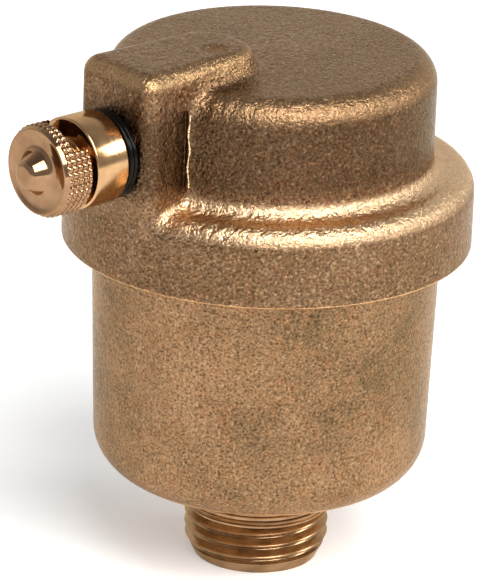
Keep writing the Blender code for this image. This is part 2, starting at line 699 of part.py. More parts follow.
# Bakes modifiers and curves to meshes and shades round surfaces smooth

def settle(piece, depsgraph):
    mesh = bpy.data.meshes.new_from_object(piece.evaluated_get(depsgraph))
    mesh.name = piece.name
    if piece.type == "CURVE":
        shape = bmesh.new()
        shape.from_mesh(mesh)
        bmesh.ops.remove_doubles(shape, verts=shape.verts, dist=0.000001)
        bmesh.ops.recalc_face_normals(shape, faces=shape.faces)
        shape.to_mesh(mesh)
        shape.free()
        name = piece.name
        place = piece.matrix_world.copy()
        bpy.data.objects.remove(piece, do_unlink=True)
        piece = bpy.data.objects.new(name, mesh)
        valve.objects.link(piece)
        piece.matrix_world = place
    else:
        piece.modifiers.clear()
        piece.data = mesh
    mesh.shade_smooth()
    mesh.set_sharp_from_angle(angle=math.radians(30.0))


make_body()
make_cover()
make_nozzle()
make_obturator()
make_spring()
make_lever()
make_float()
make_cap()
bpy.context.view_layer.update()
current = bpy.context.evaluated_depsgraph_get()
for item in list(valve.objects):
    settle(item, current)
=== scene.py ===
# Air release valve in bare brass: forged and shot-blasted pot and cover, turned nozzle and cap.
# Metres, +Z up. The inlet's end is at the origin and the side outlet points along -X.
# Sizes in the dictionaries are in millimetres. "s" is the distance from the pot's axis along the
# outlet.
import math

import bmesh
import bpy
from mathutils import Matrix, Vector
from mathutils.bvhtree import BVHTree


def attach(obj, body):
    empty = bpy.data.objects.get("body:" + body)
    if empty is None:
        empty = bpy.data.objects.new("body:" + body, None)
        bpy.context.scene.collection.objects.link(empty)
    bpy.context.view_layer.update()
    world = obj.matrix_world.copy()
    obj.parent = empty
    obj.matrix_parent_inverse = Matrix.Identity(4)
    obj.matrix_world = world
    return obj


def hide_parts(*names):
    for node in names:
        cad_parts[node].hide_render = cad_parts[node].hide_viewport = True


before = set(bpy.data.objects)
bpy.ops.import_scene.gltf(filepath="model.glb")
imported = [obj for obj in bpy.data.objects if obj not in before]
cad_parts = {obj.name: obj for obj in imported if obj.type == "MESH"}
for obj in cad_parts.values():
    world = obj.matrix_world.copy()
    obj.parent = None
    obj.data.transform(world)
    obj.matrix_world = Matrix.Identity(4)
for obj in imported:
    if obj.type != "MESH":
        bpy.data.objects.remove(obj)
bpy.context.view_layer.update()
mm = 0.001
outletZ = 68.1      # height of the outlet's axis, in mm
past = 1.0      # how far a cutting shape goes past what it cuts, in mm
print("frame loaded:", len(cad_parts), "nodes")


# Node and colour helpers

def hexColour(code):
    # sRGB hex to the linear colour that a socket takes
    channels = [int(code[start:start + 2], 16) / 255 for start in (1, 3, 5)]
    return [c / 12.92 if c <= 0.04045 else ((c + 0.055) / 1.055) ** 2.4 for c in channels] + [1.0]


def addNode(tree, kind, settings=None, links=None):
    # settings: input names or numbers, or the node's own properties; links: input to output socket
    node = tree.nodes.new(kind)
    for key, value in (settings or {}).items():
        if isinstance(key, int) or key in node.inputs:
            node.inputs[key].default_value = value
        else:
            setattr(node, key, value)
    for key, source in (links or {}).items():
        tree.links.new(source, node.inputs[key])
    return node


def newMaterial(name):
    finish = bpy.data.materials.new(name)
    finish.use_nodes = True
    tree = finish.node_tree
    tree.nodes.clear()
    shader = addNode(tree, "ShaderNodeBsdfPrincipled")
    addNode(tree, "ShaderNodeOutputMaterial", links={"Surface": shader.outputs[0]})
    return finish, tree, shader


def noiseAt(tree, vector, sizeMm, detail=2.0, roughness=0.5):
    # Noise whose lumps are about sizeMm across
    return addNode(tree, "ShaderNodeTexNoise",
                   {"Scale": 1.0 / (sizeMm * mm), "Detail": detail, "Roughness": roughness},
                   {"Vector": vector}).outputs["Fac"]


def remap(tree, value, low, high, newLow, newHigh):
    return addNode(tree, "ShaderNodeMapRange",
                   {"From Min": low, "From Max": high, "To Min": newLow, "To Max": newHigh},
                   {"Value": value}).outputs["Result"]


def mixColour(tree, factor, first, second, blend="MIX"):
    # first and second are hex codes or colour sockets
    node = addNode(tree, "ShaderNodeMix", {"data_type": "RGBA", "blend_type": blend})
    if isinstance(factor, float):
        node.inputs["Factor"].default_value = factor
    else:
        tree.links.new(factor, node.inputs["Factor"])
    for socket, value in ((6, first), (7, second)):
        if isinstance(value, str):
            node.inputs[socket].default_value = hexColour(value)
        else:
            tree.links.new(value, node.inputs[socket])
    return node.outputs[2]


def bumpBy(tree, height, depthMm, before=None):
    links = {"Height": height}
    if before:
        links["Normal"] = before
    return addNode(tree, "ShaderNodeBump", {"Strength": 1.0, "Distance": depthMm * mm},
                   links).outputs[0]


def smaller(tree, one, other):
    return addNode(tree, "ShaderNodeMath", {"operation": "MINIMUM"}, {0: one, 1: other}).outputs[0]


def seenDirectly(tree):
    # 1 for what the camera sees, in the open or in a mirror or through glass, and 0 for other light
    path = addNode(tree, "ShaderNodeLightPath")
    seen = path.outputs["Is Camera Ray"]
    for kind in ("Is Glossy Ray", "Is Transmission Ray"):
        seen = addNode(tree, "ShaderNodeMath", {"operation": "MAXIMUM"},
                       {0: seen, 1: path.outputs[kind]}).outputs[0]
    return seen


# Materials

# A band starts, is full, fades and ends at its four heights in mm. First painted shade on the
# crown's wall, a darker tone standing in for the darker ledge it reflects, then painted highlights
# on the ledge, the crown's edge and the boss's edge where they face up to the key light
# In both finishes the glint colour is a painted glint on the grain's high points
coverFinish = {"dark": "#765A3F", "light": "#84674D", "warm": "#7F5A40", "grime": "#2C2017",
               "paintedGlint": "#D2AC82", "grimeShare": 0.7, "paintedGlintShare": 0.6, "edge": "#F2E6D6",
               "grain": 0.42, "grainDepth": 0.24, "warmMm": 1.3, "patch": 9.0, "rough": (0.2, 0.32),
               # painted shade: the crown's wall multiplied darker between these heights
               "paintedShadeAndHighlightBands": [{"heights": (62.0, 64.5, 73.0, 76.5), "tone": "#C0BEBC", "blend": "MULTIPLY",
                          "facingUp": False},
                         # painted highlight on the ledge where it faces up
                         {"heights": (57.8, 59.4, 61.6, 63.2), "tone": "#D2B08A", "blend": "MIX",
                          "facingUp": True},
                         # painted highlight on the crown's edge where it faces up
                         {"heights": (73.6, 75.0, 76.2, 76.7), "tone": "#8E6F50", "blend": "MIX",
                          "facingUp": True},
                         # painted highlight on the boss's edge where it faces up
                         {"heights": (77.6, 78.6, 79.9, 80.4), "tone": "#A5845F", "blend": "MIX",
                          "facingUp": True}]}
potFinish = {"dark": "#765D41", "light": "#A37E5C", "warm": "#966D4B", "grime": "#33261A",
             "paintedGlint": "#E0B98C", "grimeShare": 0.8, "paintedGlintShare": 0.45, "edge": "#F2E6D6",
             "grain": 0.36, "grainDepth": 0.2, "warmMm": 2.2, "patch": 14.0, "rough": (0.2, 0.32),
             "paintedShadeAndHighlightBands": []}


def bandShare(tree, place, band):
    # How much of a band's tone a place takes
    start, full, fade, end = [level * mm for level in band["heights"]]
    height = addNode(tree, "ShaderNodeSeparateXYZ", links={"Vector": place}).outputs["Z"]
    share = smaller(tree, remap(tree, height, start, full, 0.0, 1.0),
                    remap(tree, height, fade, end, 1.0, 0.0))
    # painted highlight: only where the surface faces up, towards the key light
    if band["facingUp"]:
        normal = addNode(tree, "ShaderNodeNewGeometry").outputs["Normal"]
        upward = addNode(tree, "ShaderNodeSeparateXYZ", links={"Vector": normal}).outputs["Z"]
        share = smaller(tree, share, remap(tree, upward, 0.1, 0.45, 0.0, 1.0))
    return share


def shotBlastedBrass(name, look):
    # Hot-forged brass cleaned with steel shot: a dull grainy skin that glitters on tight curves
    finish, tree, shader = newMaterial(name)
    place = addNode(tree, "ShaderNodeTexCoord").outputs["Object"]
    grain = noiseAt(tree, place, look["grain"], 2.0, 0.6)
    coarse = noiseAt(tree, place, 2.6 * look["grain"], 1.0)
    patch = noiseAt(tree, place, look["patch"], 3.0, 0.55)
    flush = noiseAt(tree, place, look["warmMm"], 2.0)
    tone = mixColour(tree, remap(tree, patch, 0.35, 0.65, 0.0, 1.0), look["dark"], look["light"])
    tone = mixColour(tree, remap(tree, flush, 0.5, 0.65, 0.0, 0.7), tone, look["warm"])
    grime = remap(tree, grain, 0.3, 0.5, look["grimeShare"], 0.0)
    # pale speckles where the grain stands high: painted glints
    paintedGlint = remap(tree, grain, 0.55, 0.75, 0.0, look["paintedGlintShare"])
    tone = mixColour(tree, grime, tone, look["grime"])
    tone = mixColour(tree, paintedGlint, tone, look["paintedGlint"])
    # painted shade and painted highlights, laid on by height
    for band in look["paintedShadeAndHighlightBands"]:
        tone = mixColour(tree, bandShare(tree, place, band), tone, band["tone"], band["blend"])
    tree.links.new(tone, shader.inputs["Base Color"])
    shader.inputs["Metallic"].default_value = 1.0
    shader.inputs["Specular Tint"].default_value = hexColour(look["edge"])
    rough = remap(tree, coarse, 0.3, 0.7, *look["rough"])
    tree.links.new(rough, shader.inputs["Roughness"])
    bump = bumpBy(tree, coarse, look["grainDepth"])
    tree.links.new(bumpBy(tree, grain, look["grainDepth"], bump), shader.inputs["Normal"])
    return finish


def latheCutBrass(name, base, shade, rough, axis, lineMm=0.12, lineDepth=0.0006):
    # Brass cut on a lathe: bright, with fine rings left by the tool. axis is "X" for the outlet,
    # "Z" for the pot
    finish, tree, shader = newMaterial(name)
    place = addNode(tree, "ShaderNodeTexCoord").outputs["Object"]
    parts = addNode(tree, "ShaderNodeSeparateXYZ", links={"Vector": place})
    if axis == "X":
        lift = addNode(tree, "ShaderNodeMath", {"operation": "SUBTRACT", 1: outletZ * mm},
                       {0: parts.outputs["Z"]}).outputs[0]
        along, across = parts.outputs["X"], (parts.outputs["Y"], lift)
    else:
        along, across = parts.outputs["Z"], (parts.outputs["X"], parts.outputs["Y"])
    flat = addNode(tree, "ShaderNodeCombineXYZ", links={"X": across[0], "Y": across[1]}).outputs[0]
    radius = addNode(tree, "ShaderNodeVectorMath", {"operation": "LENGTH"},
                     {0: flat}).outputs["Value"]
    rings = addNode(tree, "ShaderNodeCombineXYZ", links={"X": along, "Y": radius}).outputs[0]
    lines = noiseAt(tree, rings, lineMm, 2.0, 0.6)
    stain = noiseAt(tree, place, 2.5, 3.0)
    tone = mixColour(tree, remap(tree, stain, 0.4, 0.7, 0.0, 0.7), base, shade)
    tone = mixColour(tree, remap(tree, lines, 0.3, 0.55, 0.35, 0.0), tone, shade)
    tree.links.new(tone, shader.inputs["Base Color"])
    shader.inputs["Metallic"].default_value = 1.0
    shader.inputs["Specular Tint"].default_value = hexColour("#F0E2CC")
    tree.links.new(remap(tree, lines, 0.3, 0.7, rough * 0.8, rough * 1.4),
                   shader.inputs["Roughness"])
    tree.links.new(bumpBy(tree, lines, lineDepth), shader.inputs["Normal"])
    return finish


def mouldedRubber(name):
    # Black nitrile rubber, moulded: a soft sheen with a faint bloom
    finish, tree, shader = newMaterial(name)
    place = addNode(tree, "ShaderNodeTexCoord").outputs["Object"]
    bloom = noiseAt(tree, place, 1.2, 3.0)
    tree.links.new(mixColour(tree, bloom, "#050404", "#0D0B0A"), shader.inputs["Base Color"])
    tree.links.new(remap(tree, bloom, 0.3, 0.7, 0.16, 0.28), shader.inputs["Roughness"])
    shader.inputs["Specular IOR Level"].default_value = 0.12
    tree.links.new(bumpBy(tree, noiseAt(tree, place, 0.25), 0.004), shader.inputs["Normal"])
    return finish


def drawnStainless(name, grainMm):
    # Spring and strip stainless steel: pale grey, drawn or rolled, with fine grain
    finish, tree, shader = newMaterial(name)
    place = addNode(tree, "ShaderNodeTexCoord").outputs["Object"]
    grain = noiseAt(tree, place, grainMm, 2.0)
    tree.links.new(mixColour(tree, grain, "#A9A8A3", "#CFCEC9"), shader.inputs["Base Color"])
    shader.inputs["Metallic"].default_value = 1.0
    tree.links.new(remap(tree, grain, 0.3, 0.7, 0.18, 0.34), shader.inputs["Roughness"])
    tree.links.new(bumpBy(tree, grain, 0.002), shader.inputs["Normal"])
    return finish


def mouldedPolypropylene(name):
    # Injection-moulded polypropylene, off-white, with the mould's faint satin
    finish, tree, shader = newMaterial(name)
    place = addNode(tree, "ShaderNodeTexCoord").outputs["Object"]
    flow = noiseAt(tree, place, 7.0, 2.0)
    tree.links.new(mixColour(tree, flow, "#D6D1C2", "#E2DED2"), shader.inputs["Base Color"])
    tree.links.new(remap(tree, flow, 0.3, 0.7, 0.38, 0.5), shader.inputs["Roughness"])
    shader.inputs["IOR"].default_value = 1.49
    tree.links.new(bumpBy(tree, noiseAt(tree, place, 0.3), 0.004), shader.inputs["Normal"])
    return finish


coverBrass = shotBlastedBrass("shotBlastedBrassCover", coverFinish)
potBrass = shotBlastedBrass("shotBlastedBrassPot", potFinish)
faceCutBrass = latheCutBrass("faceCutBrass", "#D8AC7C", "#A9784E", 0.3, "Z")
rubbedBrass = latheCutBrass("rubbedBrassFlash", "#F4DAB2", "#DDB688", 0.2, "Z")
threadBrass = latheCutBrass("threadCutBrass", "#A98A68", "#7A5E45", 0.22, "Z", 0.16, 0.0012)
nozzleBrass = latheCutBrass("turnedBrassNozzle", "#C8A076", "#AA845A", 0.15, "X")
capBrass = latheCutBrass("turnedBrassCap", "#A38061", "#8A664A", 0.1, "X")
rubber = mouldedRubber("mouldedNitrileRubber")
wireSteel = drawnStainless("drawnStainlessWire", 0.2)
stripSteel = drawnStainless("rolledStainlessStrip", 0.35)
floatPlastic = mouldedPolypropylene("mouldedPolypropylene")
print("materials made")


# Modelling helpers

def turnedShape(corners, steps, segments=6):
    # A solid of revolution about Z. corners are (radius, height) or (radius, height, rounding) in
    # mm, down the outer side, closing on themselves or on the axis
    shape = bmesh.new()
    dots = [shape.verts.new((corner[0] * mm, 0.0, corner[1] * mm)) for corner in corners]
    for index, dot in enumerate(dots):
        following = dots[(index + 1) % len(dots)]
        if dot.co.x > 0.0 or following.co.x > 0.0:
            shape.edges.new((dot, following))
    for dot, corner in zip(dots, corners):
        if len(corner) > 2:
            bmesh.ops.bevel(shape, geom=[dot], offset=corner[2] * mm, offset_type="OFFSET",
                            segments=segments, profile=0.5, affect="VERTICES", material=-1)
    bmesh.ops.spin(shape, geom=shape.verts[:] + shape.edges[:], cent=(0, 0, 0), axis=(0, 0, 1),
                   dvec=(0, 0, 0), angle=2.0 * math.pi, steps=steps, use_merge=True,
                   use_duplicate=False)
    bmesh.ops.remove_doubles(shape, verts=shape.verts[:], dist=0.0005 * mm)
    bmesh.ops.recalc_face_normals(shape, faces=shape.faces[:])
    return shape


def outletTurn(s=0.0):
    # Lays what was turned about Z along the outlet, with its zero at s
    place = Matrix.Translation((-s * mm, 0.0, outletZ * mm))
    return place @ Matrix.Rotation(-math.pi / 2.0, 4, "Y")


def alongOutlet(shape, s=0.0):
    bmesh.ops.transform(shape, matrix=outletTurn(s), verts=shape.verts[:])
    return shape


def boxShape(low, high):
    shape = bmesh.new()
    bmesh.ops.create_cube(shape, size=1.0)
    low, high = Vector(low) * mm, Vector(high) * mm
    bmesh.ops.scale(shape, vec=high - low, verts=shape.verts[:])
    bmesh.ops.translate(shape, vec=(low + high) / 2.0, verts=shape.verts[:])
    return shape


def bevelEdges(shape, edges, widthMm, segments):
    bmesh.ops.bevel(shape, geom=edges, offset=widthMm * mm, offset_type="OFFSET",
                    segments=segments, profile=0.5, affect="EDGES", material=-1)


def threadShape(crest, root, pitch, low, high, stepsPerTurn=72):
    # A rod with a right-hand Whitworth-like thread, cut square at low and high
    depth = crest - root
    outline = [(0.0, 0.0), (0.09, 0.07), (0.17, 0.24), (0.36, 0.8), (0.43, 0.95), (0.5, 1.0),
               (0.57, 0.95), (0.64, 0.8), (0.83, 0.24), (0.91, 0.07), (1.0, 0.0)]
    shape = bmesh.new()
    first = low - 1.5 * pitch
    dots = [shape.verts.new(((root + depth * out) * mm, 0.0, (first + pitch * up) * mm))
            for up, out in outline]
    for one, other in zip(dots, dots[1:]):
        shape.edges.new((one, other))
    turns = math.ceil((high - low) / pitch) + 3
    bmesh.ops.spin(shape, geom=shape.verts[:] + shape.edges[:], cent=(0, 0, 0), axis=(0, 0, 1),
                   dvec=(0.0, 0.0, pitch * mm / stepsPerTurn), angle=2.0 * math.pi * turns,
                   steps=turns * stepsPerTurn, use_merge=False, use_duplicate=False)
    bmesh.ops.remove_doubles(shape, verts=shape.verts[:], dist=0.002 * mm)
    for height, side in ((low, -1.0), (high, 1.0)):
        geometry = shape.verts[:] + shape.edges[:] + shape.faces[:]
        bmesh.ops.bisect_plane(shape, geom=geometry, plane_co=(0, 0, height * mm),
                               plane_no=(0, 0, side), clear_outer=True)
        rim = [edge for edge in shape.edges if edge.is_boundary
               and all(abs(vert.co.z - height * mm) < 0.001 * mm for vert in edge.verts)]
        bmesh.ops.edgeloop_fill(shape, edges=rim)
    bmesh.ops.recalc_face_normals(shape, faces=shape.faces[:])
    return shape


def toObject(shape, name, finishes):
    mesh = bpy.data.meshes.new(name)
    shape.to_mesh(mesh)
    shape.free()
    piece = bpy.data.objects.new(name, mesh)
    bpy.context.scene.collection.objects.link(piece)
    for finish in finishes:
        mesh.materials.append(finish)
    return piece


def bakeModifiers(piece):
    view = bpy.context.evaluated_depsgraph_get()
    baked = bpy.data.meshes.new_from_object(piece.evaluated_get(view))
    piece.modifiers.clear()
    piece.data = baked


def cutOrJoinObject(piece, other, operation, solver="MANIFOLD"):
    # Applies a Boolean with another object, which is used up
    boolean = piece.modifiers.new("boolean", "BOOLEAN")
    boolean.operation = operation
    boolean.solver = solver
    boolean.object = other
    bakeModifiers(piece)
    bpy.data.objects.remove(other, do_unlink=True)


def cutOrJoin(piece, shape, operation, solver="MANIFOLD"):
    cutOrJoinObject(piece, toObject(shape, "tool", []), operation, solver)


def smoothByAngle(piece, degrees):
    piece.data.shade_smooth()
    piece.data.set_sharp_from_angle(angle=math.radians(degrees))


def paintFaces(piece, index, test):
    # Gives the faces whose middle (in mm) and normal pass the test the material at that index
    for face in piece.data.polygons:
        if test(face.center / mm, face.normal):
            face.material_index = index


# Cover: turned crown and skirt, with the outlet's boss grown into them as in the forging

cover = {"skirtBottom": 49.0, "skirtTop": 60.7, "skirtR": 29.35, "skirtRound": 3.4,
         "skirtDish": 0.7, "skirtEdge": 0.45, "crownR": 23.36, "crownTop": 76.75, "crownRound": 3.6,
         "crownDome": 0.4, "crownFoot": 2.6, "wall": 3.0, "neckBore": 25.3, "neckTop": 57.3,
         "voxel": 0.42, "blend": 2.6, "blendPasses": 26}
boss = {"endS": 30.0, "innerS": 6.2, "halfWidth": 7.7, "taper": 0.86, "top": 80.5, "foot": 57.6,
        "innerRound": 5.8, "outerRound": 2.6, "topRound": 2.5, "footRound": 2.9, "wall": 3.2,
        "endWall": 4.5, "boreR": 5.1}
groove = {"offset": 0.5, "width": 2.4, "depth": 0.75, "outerDepth": 0.12, "clear": 1.6,
          "bottom": 62.8, "top": 74.8, "round": 0.15}
flash = {"bottom": 63.4, "top": 74.0, "step": 0.08, "inset": 0.1, "sway": 0.1, "swayRate": 1.3,
         "r": 0.26, "bead": 0.85, "neck": 0.3, "waver": 0.25, "waverRate": 2.3, "tip": 0.2,
         "sides": 10}
dimple = {"s": 13.4, "y": -2.5, "depth": 0.5, "bowlR": 4.7}


def bossShape():
    shape = boxShape((-boss["endS"], -boss["halfWidth"], boss["foot"]),
                     (-boss["innerS"], boss["halfWidth"], boss["top"]))
    middle = -(boss["endS"] + boss["innerS"]) / 2.0 * mm
    inner = [vert for vert in shape.verts if vert.co.x > middle]
    bmesh.ops.scale(shape, vec=(1.0, boss["taper"], 1.0), verts=inner)
    halfHeight = (boss["top"] - boss["foot"]) / 2.0 * mm

    def upright(side):
        return [edge for edge in shape.edges if (edge.verts[0].co.x - middle) * side > 0.0
                and abs(edge.verts[0].co.z - edge.verts[1].co.z) > halfHeight]

    def level(height, limit):
        return [edge for edge in shape.edges if all(
            abs(vert.co.z - height * mm) < 0.1 * mm and vert.co.x < limit
            for vert in edge.verts)]

    bevelEdges(shape, upright(1.0), boss["innerRound"], 12)
    bevelEdges(shape, upright(-1.0), boss["outerRound"], 8)
    bevelEdges(shape, level(boss["top"], 0.0), boss["topRound"], 8)
    bevelEdges(shape, level(boss["foot"], (boss["outerRound"] - boss["endS"] + 0.1) * mm),
               boss["footRound"], 6)
    return shape


def makeCover():
    skirt = turnedShape([
        (0.0, cover["crownTop"] + cover["crownDome"]),
        (cover["crownR"], cover["crownTop"], cover["crownRound"]),
        (cover["crownR"], cover["skirtTop"] - cover["skirtDish"], cover["crownFoot"]),
        (cover["skirtR"], cover["skirtTop"], cover["skirtRound"]),
        (cover["skirtR"], cover["skirtBottom"], cover["skirtEdge"]),
        (0.0, cover["skirtBottom"]),
    ], 180, 10)
    arm = bossShape()
    skirtTree = BVHTree.FromBMesh(skirt)
    armTree = BVHTree.FromBMesh(arm)
    rough = toObject(skirt, "roughCover", [])
    cutOrJoin(rough, arm, "UNION")
    remesh = rough.modifiers.new("voxels", "REMESH")
    remesh.mode = "VOXEL"
    remesh.voxel_size = cover["voxel"] * mm
    bakeModifiers(rough)
    shape = bmesh.new()
    shape.from_mesh(rough.data)
    bpy.data.objects.remove(rough, do_unlink=True)
    near = []
    for vert in shape.verts:      # back onto the true surfaces, and a list of those at the joint
        ontoSkirt = skirtTree.find_nearest(vert.co)
        ontoArm = armTree.find_nearest(vert.co)
        if max(ontoSkirt[3], ontoArm[3]) < cover["blend"] * mm:
            near.append(vert)
        vert.co = ontoSkirt[0] if ontoSkirt[3] < ontoArm[3] else ontoArm[0]
    for _ in range(cover["blendPasses"]):
        bmesh.ops.smooth_vert(shape, verts=near, factor=0.5, use_axis_x=True, use_axis_y=True,
                              use_axis_z=True)
    bmesh.ops.recalc_face_normals(shape, faces=shape.faces[:])
    piece = toObject(shape, "forgedCover", [coverBrass, faceCutBrass])
    below = cover["skirtBottom"] - 3.0 * past
    cutOrJoin(piece, turnedShape([
        (0.0, cover["crownTop"] - cover["wall"]),
        (cover["crownR"] - cover["wall"], cover["crownTop"] - cover["wall"], cover["wall"]),
        (cover["crownR"] - cover["wall"], cover["neckTop"]),
        (cover["neckBore"], cover["neckTop"]),
        (cover["neckBore"], below),
        (0.0, below),
    ], 96), "DIFFERENCE")
    halfPocket = boss["halfWidth"] - boss["wall"]
    pocket = boxShape((boss["endWall"] - boss["endS"], -halfPocket, outletZ - boss["boreR"]),
                      (-boss["innerS"] - boss["wall"], halfPocket, boss["top"] - boss["wall"]))
    cutOrJoin(piece, pocket, "DIFFERENCE")
    cutOrJoin(piece, alongOutlet(turnedShape([
        (0.0, 1.3 * boss["endS"]), (boss["boreR"], 1.3 * boss["endS"]),
        (boss["boreR"], 0.5 * boss["endS"]), (0.0, 0.5 * boss["endS"])], 64)), "DIFFERENCE")
    junction = math.sqrt(cover["crownR"] ** 2 - boss["halfWidth"] ** 2) + groove["offset"]
    for side in (-1.0, 1.0):      # the groove's floor rises away from the crown
        low, high = sorted((side * (boss["halfWidth"] - groove["depth"]),
                            side * (boss["halfWidth"] + groove["clear"])))
        slot = boxShape((-junction - groove["width"], low, groove["bottom"]),
                        (-junction, high, groove["top"]))
        outboard = [vert for vert in slot.verts if vert.co.x < (-junction - 0.1) * mm
                    and abs(vert.co.y) < boss["halfWidth"] * mm]
        rise = side * (groove["depth"] - groove["outerDepth"]) * mm
        bmesh.ops.translate(slot, vec=(0.0, rise, 0.0), verts=outboard)
        bevelEdges(slot, slot.edges[:], groove["round"], 4)
        cutOrJoin(piece, slot, "DIFFERENCE")
    dent = bmesh.new()
    bmesh.ops.create_uvsphere(dent, u_segments=64, v_segments=64, radius=dimple["bowlR"] * mm)
    lift = boss["top"] - dimple["depth"] + dimple["bowlR"]
    bmesh.ops.translate(dent, vec=Vector((-dimple["s"], dimple["y"], lift)) * mm,
                        verts=dent.verts[:])
    cutOrJoin(piece, dent, "DIFFERENCE")
    smoothByAngle(piece, 40.0)
    edgeTop = cover["skirtBottom"] + 0.9 * cover["skirtEdge"]
    paintFaces(piece, 1, lambda middle, normal: middle.z < edgeTop and normal.z < -0.2)
    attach(piece, "root")
    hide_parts("cover")
    print("cover made:", len(piece.data.polygons), "faces")
    return piece, junction


def makeFlash(name, coverPiece, s, side):
    # The thin broken flash that the forging dies leave along the groove's edge
    surface = BVHTree.FromPolygons([vert.co for vert in coverPiece.data.vertices],
                                   [face.vertices for face in coverPiece.data.polygons])
    shape = bmesh.new()
    count = round((flash["top"] - flash["bottom"]) / flash["step"])
    before = None
    for index in range(count + 1):
        z = flash["bottom"] + index * flash["step"]
        sway = flash["sway"] * math.sin(flash["swayRate"] * z)
        outside = Vector((sway - s, side * cover["skirtR"], z)) * mm
        hit = surface.ray_cast(outside, Vector((0.0, -side, 0.0)))[0]
        bead = abs(math.sin(math.pi * z / flash["bead"])) ** 0.5
        waver = 1.0 - flash["waver"] * (1.0 - math.sin(flash["waverRate"] * z))
        swell = waver * (flash["neck"] + (1.0 - flash["neck"]) * bead)
        radius = flash["r"] * (swell if 0 < index < count else flash["tip"])
        ring = bmesh.ops.create_circle(shape, cap_ends=index in (0, count), segments=flash["sides"],
                                       radius=radius * mm, matrix=Matrix.Translation(hit))["verts"]
        edges = [edge for edge in shape.edges if all(vert in ring for vert in edge.verts)]
        if before:
            bmesh.ops.bridge_loops(shape, edges=before + edges)
        before = edges
    bmesh.ops.recalc_face_normals(shape, faces=shape.faces[:])
    piece = toObject(shape, name, [rubbedBrass])
    smoothByAngle(piece, 60.0)
    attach(piece, "root")
    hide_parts("cover")


# Pot with the G 1/2 inlet thread

pot = {"r": 25.0, "baseR": 23.95, "top": 57.0, "skirtZ": 49.0, "base": 13.0, "baseRise": 0.8,
       "baseRound": 5.9, "boreR": 21.4, "floor": 17.5, "innerRound": 4.0, "inletR": 7.5,
       "reliefR": 9.3, "ringIn": 22.15, "ringOut": 24.25, "ringZ": 55.2, "ribs": 4, "ribHeight": 2.4,
       "ribWidth": 2.0, "ribEdge": 0.3, "rimRound": 0.3, "reliefRound": 0.4, "inletRound": 0.3}
inletThread = {"crest": 10.4775, "root": 9.316, "pitch": 1.814, "length": 8.6, "chamfer": 1.45,
               "chamferLength": 3.0, "runoutIn": 0.6, "runoutDrop": 0.7, "coreEnd": 1.0,
               "shoulderR": 10.35, "shoulderTop": 11.8, "shoulderHigh": 11.1, "shoulderLow": 7.6,
               "shoulderFoot": 7.0, "toolRings": (10.3, 9.3, 8.6, 8.0), "toolRingDepth": 0.16}


def makePot():
    shoulderR, ringDepth = inletThread["shoulderR"], inletThread["toolRingDepth"]
    shoulder = [corner for z in inletThread["toolRings"] for corner in (
        (shoulderR, z + ringDepth), (shoulderR - ringDepth, z), (shoulderR, z - ringDepth))]
    shape = turnedShape([
        (0.0, pot["top"]),
        (pot["r"], pot["top"], pot["rimRound"]),
        (pot["r"], pot["skirtZ"]),
        (pot["baseR"], pot["base"] + pot["baseRise"], pot["baseRound"]),
        (pot["reliefR"], pot["base"], pot["reliefRound"]),
        (pot["reliefR"], inletThread["shoulderTop"]),
        (shoulderR, inletThread["shoulderHigh"]),
        *shoulder,
        (shoulderR, inletThread["shoulderLow"]),
        (pot["reliefR"], inletThread["shoulderFoot"]),
        (pot["reliefR"], inletThread["coreEnd"]),
        (0.0, inletThread["coreEnd"]),
    ], 180, 12)
    piece = toObject(shape, "forgedPot", [potBrass, threadBrass, faceCutBrass])
    thread = toObject(threadShape(inletThread["crest"], inletThread["root"], inletThread["pitch"], 0.0,
                                  inletThread["length"]), "thread", [])
    blankR = inletThread["crest"] + past
    cutOrJoin(thread, turnedShape([
        (0.0, inletThread["length"] + past),
        (inletThread["root"] - inletThread["runoutIn"], inletThread["length"] + past),
        (blankR, inletThread["length"] - inletThread["runoutDrop"]),
        (blankR, inletThread["chamferLength"] * (1.0 + 1.0 / inletThread["chamfer"])),
        (inletThread["crest"] - inletThread["chamfer"], 0.0),
        (0.0, 0.0),
    ], 96), "INTERSECT", "EXACT")
    cutOrJoinObject(piece, thread, "UNION", "EXACT")
    inner = turnedShape([
        (0.0, pot["top"] + 2.0 * past),
        (pot["boreR"], pot["top"] + 2.0 * past),
        (pot["boreR"], pot["floor"], pot["innerRound"]),
        (pot["inletR"], pot["floor"], pot["inletRound"]),
        (pot["inletR"], -2.0 * past),
        (0.0, -2.0 * past),
    ], 96)
    cutOrJoin(piece, inner, "DIFFERENCE", "EXACT")
    ringSeat = turnedShape([
        (pot["ringOut"], pot["top"] + past),
        (pot["ringOut"], pot["ringZ"]),
        (pot["ringIn"], pot["ringZ"]),
        (pot["ringIn"], pot["top"] + past),
    ], 96)
    cutOrJoin(piece, ringSeat, "DIFFERENCE", "EXACT")
    reach = pot["boreR"] - pot["innerRound"]
    for index in range(pot["ribs"]):
        rib = boxShape((pot["inletR"] + 1.0, -pot["ribWidth"] / 2.0, pot["floor"] - 1.0),
                       (reach, pot["ribWidth"] / 2.0, pot["floor"] + pot["ribHeight"]))
        top = [edge for edge in rib.edges
               if min(vert.co.z for vert in edge.verts) > pot["floor"] * mm]
        bevelEdges(rib, top, pot["ribEdge"], 3)
        turn = Matrix.Rotation(2.0 * math.pi * (index + 0.5) / pot["ribs"], 3, "Z")
        bmesh.ops.rotate(rib, cent=(0, 0, 0), verts=rib.verts[:], matrix=turn)
        cutOrJoin(piece, rib, "UNION", "EXACT")
    smoothByAngle(piece, 30.0)
    paintFaces(piece, 1, lambda middle, normal: middle.z < pot["base"] - 0.05)
    paintFaces(piece, 2, lambda middle, normal: middle.z > pot["skirtZ"] - 0.01
               or Vector(middle.xy).length < pot["boreR"] + 0.2 and middle.z > pot["base"])
    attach(piece, "root")
    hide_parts("body")
    print("pot made:", len(piece.data.polygons), "faces")


# Nozzle: collar, cap thread, and the fork that carries the lever

